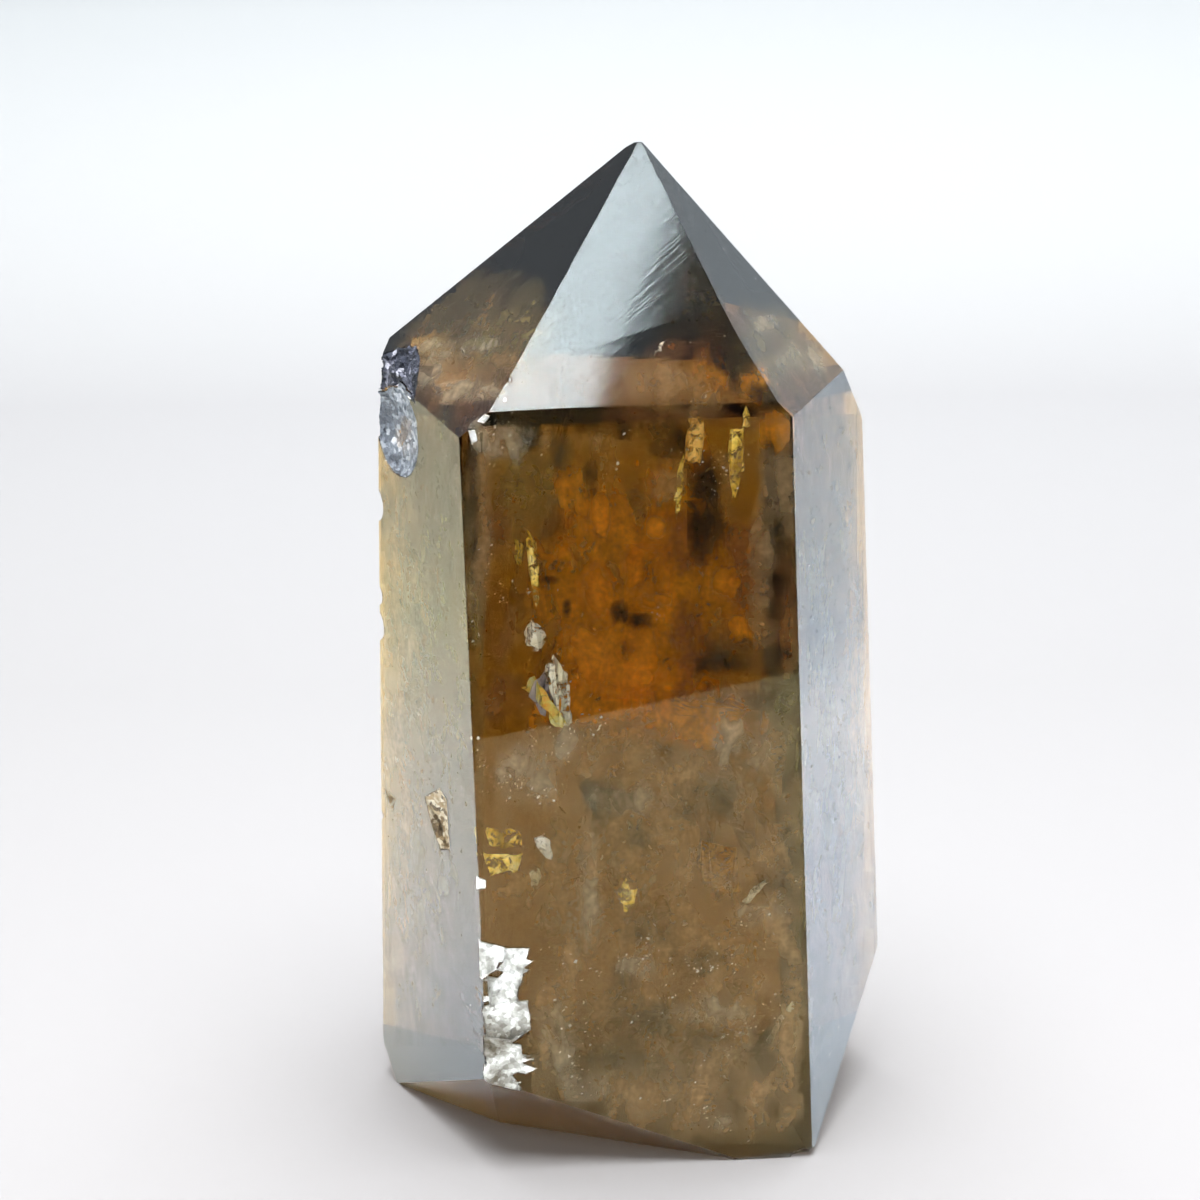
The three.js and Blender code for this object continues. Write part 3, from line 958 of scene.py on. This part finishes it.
# The clouds behind each face: how deep, then the middle and the half width and height in the photo.
CLOUDS = {
    "olive": {
        "left": [(1.6, 425, 760, 70, 400)],
        "right": [(1.6, 834, 700, 70, 400)],
        "tip_left": [(1.8, 480, 330, 80, 60)],
        "tip_right": [(1.8, 780, 350, 50, 50)],
        "front": [(1.8, 530, 480, 60, 60), (1.6, 780, 700, 20, 120)],
    },
    "glow": {
        "front": [
            (2.0, 640, 600, 130, 150), (1.6, 700, 720, 70, 30), (1.2, 572, 492, 19, 46),
            (1.6, 565, 545, 14, 24), (1.5, 601, 512, 10, 26), (1.2, 656, 527, 10, 12),
            (1.6, 600, 590, 24, 30), (1.3, 618, 655, 55, 44), (1.6, 590, 695, 66, 32),
            (1.8, 664, 684, 54, 30), (1.5, 652, 600, 20, 10), (1.5, 727, 584, 18, 18),
            (1.5, 734, 632, 15, 18), (2.6, 700, 455, 16, 30), (1.8, 640, 570, 30, 26),
            (1.2, 772, 432, 18, 26),
        ],
        "tip_front_lower": [(1.4, 712, 362, 20, 34), (1.6, 752, 388, 16, 24)],
    },
    "tan": {
        "tip_front_lower": [(1.5, 655, 378, 34, 30), (2.0, 700, 385, 90, 26)],
        "front": [
            (0.9, 764, 570, 16, 140), (1.0, 768, 1065, 46, 60), (0.8, 480, 520, 14, 110),
            (0.8, 786, 470, 14, 80), (1.2, 782, 900, 26, 260), (1.2, 740, 1112, 90, 34),
            (1.2, 690, 1080, 120, 40), (2.6, 640, 560, 190, 200), (2.2, 640, 930, 190, 300),
            (1.8, 735, 470, 15, 42), (1.8, 660, 485, 26, 20), (1.5, 762, 422, 26, 16),
            (1.6, 690, 415, 22, 10), (1.6, 588, 880, 10, 110), (1.6, 572, 960, 12, 70),
            (1.8, 545, 1000, 16, 70), (1.8, 690, 780, 60, 50), (1.6, 690, 870, 60, 36),
            (1.7, 756, 830, 36, 60), (1.8, 740, 1000, 44, 50), (1.6, 680, 1115, 90, 30),
            (1.9, 560, 780, 70, 50), (1.5, 560, 440, 60, 12),
        ],
        "left": [(1.0, 400, 700, 40, 330)],
        "right": [(1.0, 862, 650, 26, 300)],
        "tip_left": [(2.0, 470, 340, 90, 60), (1.6, 452, 380, 50, 26)],
    },
    "rust": {
        "tip_front": [(1.2, 690, 284, 16, 14)],
        "front": [
            (0.7, 735, 418, 64, 13), (1.0, 784, 610, 18, 90), (1.0, 640, 416, 40, 10),
            (1.4, 490, 515, 22, 55), (1.5, 495, 620, 20, 50), (1.5, 503, 700, 32, 34),
            (1.5, 692, 640, 26, 46), (1.6, 745, 560, 30, 60), (1.7, 690, 540, 40, 40),
            (1.6, 720, 700, 70, 20),
        ],
        "tip_front_lower": [(1.2, 690, 350, 60, 12)],
        "left": [(2.4, 425, 600, 42, 260)],
    },
    "umber": {
        "front": [
            (1.1, 770, 500, 14, 70), (0.9, 740, 655, 60, 20), (1.1, 560, 450, 12, 34),
            (1.4, 615, 1060, 34, 28), (1.3, 655, 1020, 26, 24), (1.3, 700, 962, 32, 17),
            (1.4, 625, 992, 20, 36), (1.5, 700, 802, 40, 24), (1.4, 650, 930, 40, 18),
            (1.4, 705, 1042, 34, 15), (1.2, 636, 842, 22, 14), (1.2, 770, 1060, 26, 44),
            (1.2, 610, 800, 30, 26), (0.6, 470, 500, 11, 100),
        ],
        "tip_left": [(1.6, 450, 300, 54, 50)],
    },
    "dusk": {
        "tip_front": [(1.2, 697, 295, 44, 60)],
        "front": [
            (0.7, 550, 417, 80, 10), (1.2, 530, 433, 14, 20), (1.3, 610, 424, 34, 16),
            (1.2, 664, 436, 26, 22), (1.2, 590, 482, 8, 24), (1.2, 706, 508, 19, 58),
            (1.4, 778, 545, 18, 90), (1.2, 766, 452, 9, 16), (1.0, 549, 580, 12, 5), (1.0, 567, 608, 5, 10),
            (1.0, 618, 612, 10, 12), (1.0, 640, 622, 17, 9), (1.2, 722, 664, 26, 12), (1.2, 792, 850, 9, 24),
        ],
        "tip_front_lower": [(1.0, 735, 350, 30, 26), (1.2, 765, 395, 20, 14)],
        "right": [(2.4, 832, 600, 44, 260)],
        "tip_left": [(2.4, 490, 320, 80, 46)],
        "left": [(2.2, 425, 520, 44, 150)],
        "tip_right": [(2.4, 770, 340, 50, 50)],
    },
    "pale": {
        "front": [
            (0.9, 505, 440, 34, 26), (0.8, 480, 432, 14, 22), (1.0, 528, 770, 44, 40),
            (1.0, 560, 745, 26, 26), (1.0, 580, 1088, 30, 22), (1.2, 640, 966, 30, 12),
            (1.2, 700, 1010, 60, 22), (1.2, 755, 915, 40, 16), (1.2, 715, 1122, 30, 12),
            (1.2, 560, 1040, 26, 40), (1.4, 620, 800, 60, 20), (1.4, 740, 740, 50, 50),
            (1.4, 590, 870, 12, 120),
        ],
        "tip_left": [
            (1.0, 445, 350, 34, 14), (1.0, 430, 372, 24, 20), (1.0, 470, 392, 44, 16),
            (1.0, 480, 345, 40, 10),
        ],
        "tip_right": [(1.2, 800, 360, 34, 24), (1.2, 768, 322, 16, 14)],
    },
}


def films():
    """One piece for each kind of veil and cloud."""
    for kind, (colour, cover, bare, lump) in FILMS.items():
        bm = bmesh.new()
        bm.verts.layers.float.new("fade")
        for i, sizes in enumerate(VEILS.get(kind, [])):
            veil(bm, 3.7 * i, *sizes)
        for face, patches in CLOUDS[kind].items():
            for sizes in patches:
                cloud(bm, face, *sizes)
        bmesh.ops.delete(bm, geom=[v for v in bm.verts if not v.link_faces], context="VERTS")
        piece = add("film_" + kind, mesh_from(bm, "film_" + kind))
        piece.data.materials.append(film_material("film_" + kind, colour, cover, bare, lump))
        yield piece


# Chips seen through the front faces: outlines in the photo's pixels, with the face and the depth.
# Gold chips, partly real flakes and partly painted glints.
GOLD_FLAKE_AND_GLINT_CHIPS = [
    ("front", 2.2, [(487, 829), (519, 831), (521, 845), (503, 848), (489, 845)]),
    ("front", 0.9, [(482, 853), (502, 856), (521, 854), (517, 872), (505, 870), (491, 876)]),
    ("front", 0.8, [(742, 427), (747, 405), (752, 426)]),
    ("front", 0.9, [(529, 530), (536, 545), (539, 590), (537, 612), (531, 585), (526, 550)]),
    ("front", 1.2, [(517, 540), (523, 545), (521, 566), (515, 560)]),
    ("front", 1.6, [(731, 430), (742, 428), (744, 470), (733, 502), (728, 465)]),
    ("front", 0.9, [(618, 892), (625, 879), (630, 890), (637, 888), (633, 905), (626, 912), (622, 903)]),
    ("front", 1.5, [(690, 445), (682, 455), (684, 470), (680, 500), (676, 520), (674, 500), (680, 462)]),
]
AMBER_CHIPS = [
    ("tip_front_lower", 4.0, [(706, 345), (722, 350), (727, 374), (716, 392), (706, 380), (703, 360)]),
    ("front", 1.0, [(689, 420), (700, 415), (706, 436), (701, 452), (700, 464), (684, 462), (687, 440)]),
    ("front", 6.0, [(562, 470), (575, 463), (583, 490), (580, 520), (566, 530), (557, 505)]),
    ("front", 6.5, [(590, 500), (603, 496), (607, 520), (596, 535)]),
    ("front", 7.0, [(600, 640), (620, 625), (650, 650), (640, 690), (610, 700), (590, 670)]),
    ("front", 5.5, [(652, 520), (664, 517), (666, 532), (655, 538)]),
    ("front", 6.5, [(716, 600), (732, 590), (742, 620), (730, 645), (718, 630)]),
    ("front", 7.0, [(640, 590), (668, 595), (672, 606), (645, 606)]),
    ("front", 6.0, [(606, 770), (620, 762), (624, 790), (612, 796)]),
    ("front", 7.0, [(700, 840), (735, 850), (740, 890), (715, 900), (700, 870)]),
]
PALE_CHIPS = [
    ("front", 1.2, [(524, 632), (532, 621), (543, 628), (546, 642), (537, 651), (526, 645)]),
    ("front", 0.6, [(534, 838), (545, 833), (551, 848), (552, 861), (546, 856), (537, 846)]),
    ("front", 2.6, [(529, 872), (537, 868), (541, 880), (533, 887)]),
    ("front", 1.2, [(543, 668), (555, 654), (567, 674), (570, 700), (572, 724), (562, 724), (553, 700)]),
    ("tip_front_lower", 0.8, [(653, 355), (658, 350), (664, 342), (660, 350)]),
    ("front", 2.4, [(742, 575), (750, 570), (753, 585), (746, 592)]),
    ("front", 2.0, [(766, 1042), (778, 1018), (792, 1002), (795, 1006), (780, 1026), (772, 1044)]),
    ("front", 1.8, [(742, 902), (752, 888), (766, 879), (768, 883), (756, 894), (747, 905)]),
]
LAVENDER_CHIPS = [
    ("front", 1.5, [(528, 690), (545, 670), (554, 698), (557, 720), (541, 715)]),
]
RIM_CHIPS = [
    ("front", 1.35, [(523, 688), (533, 676), (556, 706), (568, 727), (555, 729), (545, 708)]),
]
DARK_CHIPS = [
    ("front", 3.0, [(624, 826), (640, 824), (650, 836), (640, 846), (628, 840)]),
    ("front", 5.0, [(700, 463), (712, 468), (722, 510), (727, 555), (700, 562), (690, 530)]),
    ("front", 3.0, [(540, 574), (548, 578), (545, 586), (538, 582)]),
    ("front", 3.5, [(608, 598), (616, 610), (634, 622), (640, 634), (622, 622), (606, 610)]),
    ("front", 4.0, [(520, 418), (535, 425), (537, 445), (524, 450), (516, 435)]),
    ("front", 3.0, [(564, 600), (568, 602), (569, 616), (565, 612)]),
]
# Trails of tiny white chips, partly real white specks and partly painted glints: from one pixel to another,
# how many, and how far they stray.
SPECK_AND_GLINT_TRAILS = [
    (484, 545, 499, 582, 26, 6), (515, 585, 527, 597, 10, 4), (594, 712, 606, 726, 14, 3),
    (548, 730, 562, 760, 18, 5), (500, 782, 560, 800, 26, 6), (622, 426, 634, 446, 8, 3),
    (614, 462, 620, 470, 6, 2), (655, 612, 664, 620, 8, 3), (560, 1055, 600, 1100, 46, 8),
    (696, 1105, 736, 1132, 26, 7), (640, 940, 700, 990, 26, 10), (562, 1000, 600, 1050, 26, 9),
    (478, 740, 484, 770, 12, 4), (478, 612, 484, 660, 10, 4), (495, 590, 506, 602, 8, 3),
    (520, 720, 536, 734, 8, 3), (640, 960, 655, 950, 8, 3), (485, 470, 478, 440, 10, 4),
    (480, 430, 530, 455, 26, 9), (500, 420, 520, 440, 14, 6), (700, 380, 704, 396, 12, 4),
    (560, 640, 575, 690, 10, 5), (720, 455, 730, 500, 12, 5), (840, 900, 850, 940, 4, 3),
    (620, 1000, 700, 1060, 20, 14), (540, 930, 600, 1000, 20, 14), (488, 776, 556, 796, 70, 10),
    (528, 738, 600, 730, 40, 8), (690, 975, 798, 880, 60, 4), (640, 1010, 780, 935, 50, 6),
    (650, 1105, 790, 1000, 50, 6), (684, 428, 726, 500, 40, 9), (600, 980, 660, 930, 30, 5),
]


def ragged(outline, rnd):
    """The outline with its straight edges broken up."""
    ring = []
    for (x0, y0), (x1, y1) in zip(outline, outline[1:] + outline[:1]):
        for i in range(EDGE_PARTS):
            t = i / EDGE_PARTS
            ring.append((x0 + (x1 - x0) * t + rnd.gauss(0, 1), y0 + (y1 - y0) * t + rnd.gauss(0, 1)))
    return ring


def chips(name, outlines, material):
    rnd = random.Random(name)
    bm = bmesh.new()
    for face, depth, outline in outlines:
        ring = []
        for x, y in ragged(outline, rnd):
            ring.append(seen_at(x, y, face, depth + CHIP_WOBBLE * math.sin(x * 0.7 + y)))
        bm.faces.new([bm.verts.new(point) for point in ring])
    bmesh.ops.triangulate(bm, faces=bm.faces)
    piece = add(name, mesh_from(bm, name))
    piece.data.materials.append(material)
    return piece


# Tiny white chips along the trails: partly real specks, partly painted glints.
def specks_and_glints(rnd):
    for x0, y0, x1, y1, count, stray in SPECK_AND_GLINT_TRAILS:
        for i in range(count):
            t = rnd.random()
            px = x0 + (x1 - x0) * t + rnd.gauss(0, stray)
            py = y0 + (y1 - y0) * t + rnd.gauss(0, stray)
            face = "tip_front_lower" if py < TIP_BASE_ROW else "front"
            yield seen_at(px, py, face, rnd.uniform(0.4, 1.6)), 0.1 + 0.5 * rnd.random() ** 2


def scattered(count, rnd, widest):
    """Chips all through the stone, thicker towards the front."""
    spots = []
    while len(spots) < count:
        point = Vector([rnd.uniform(low, high) for low, high in zip(SCATTER_LOW, SCATTER_HIGH)])
        if inside(point, SCATTER_MARGIN) and rnd.random() < 0.25 + 0.75 * (point.y < 0):
            spots.append((point, widest * rnd.random() ** 3 + 0.06))
    return spots


def render_settings():
    """How far the light is followed, and when a pixel is good enough to be left to the denoiser."""
    scene = bpy.context.scene
    scene.view_settings.view_transform = "Standard"
    cycles = scene.cycles
    cycles.max_bounces = 9
    cycles.transmission_bounces = 8
    cycles.transparent_max_bounces = 8
    cycles.glossy_bounces = 3
    cycles.diffuse_bounces = 1
    cycles.sample_clamp_indirect = 40
    cycles.adaptive_threshold = 0.2
    cycles.use_denoising = True


def crusts(stone, broken):
    """The skins of the broken places, each with the size and the depth of its facets."""
    white = break_material("white_break", WHITE_BREAK, facets=0.1, lift=0.14)
    grey = break_material("corner_break", GREY_BREAK, shine=0.2)
    dark = break_material("dark_scar", DARK_SCAR)
    brown = break_material("brown_pits", BROWN_PITS)
    yield crust("break_white", stone, broken["white"], white, facet=1.3, depth=0.12)
    yield crust("break_corner", stone, broken["corner"], grey)
    yield crust("break_scar", stone, broken["scar"], dark, facet=0.7, depth=0.15)
    yield crust("break_pits", stone, broken["pit"], brown, facet=0.5, depth=0.15)


def loose_flakes():
    pale = flake_material("flake_pale", PALE_FLAKE)
    white = flake_material("speck_and_glint_white", SPECK_AND_GLINT_WHITE, shine=0.3)
    yield flakes("flakes_pale", scattered(LOOSE_FLAKES, random.Random(5), WIDEST_FLAKE), pale, 6)
    yield flakes("specks_and_glints", list(specks_and_glints(random.Random(8))), white, 9)


# Each kind of chip: its outlines, its shades, its mirror-like share and how far it is eaten away.
CHIPS = {
    "gold": (GOLD_FLAKE_AND_GLINT_CHIPS, GOLD_FLAKE_AND_GLINT, 0.4, 0.55),
    "amber": (AMBER_CHIPS, AMBER_CHIP, 0.2, 0.5),
    "pale": (PALE_CHIPS, PALE_FLAKE, 0.35, 0.4),
    "lavender": (LAVENDER_CHIPS, LAVENDER_CHIP, 0.1, 0.2),
    "rim": (RIM_CHIPS, RIM_CHIP, 0.2, 0.2),
    "dark": (DARK_CHIPS, DARK_CHIP, 0.0, 0.5),
}


def all_chips():
    for kind, (outlines, stops, shine, holes) in CHIPS.items():
        yield chips("chips_" + kind, outlines, flake_material("chip_" + kind, stops, shine, holes))


render_settings()
camera()
floor()
lights()
crystal, broken_places = cut_stone()
mark_finishes(crystal.data)
crystal.data.materials.append(quartz_material())
for piece in [crystal, *crusts(crystal, broken_places), *films(), *loose_flakes(), *all_chips()]:
    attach(piece, "root")
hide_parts("smoky_quartz_point")
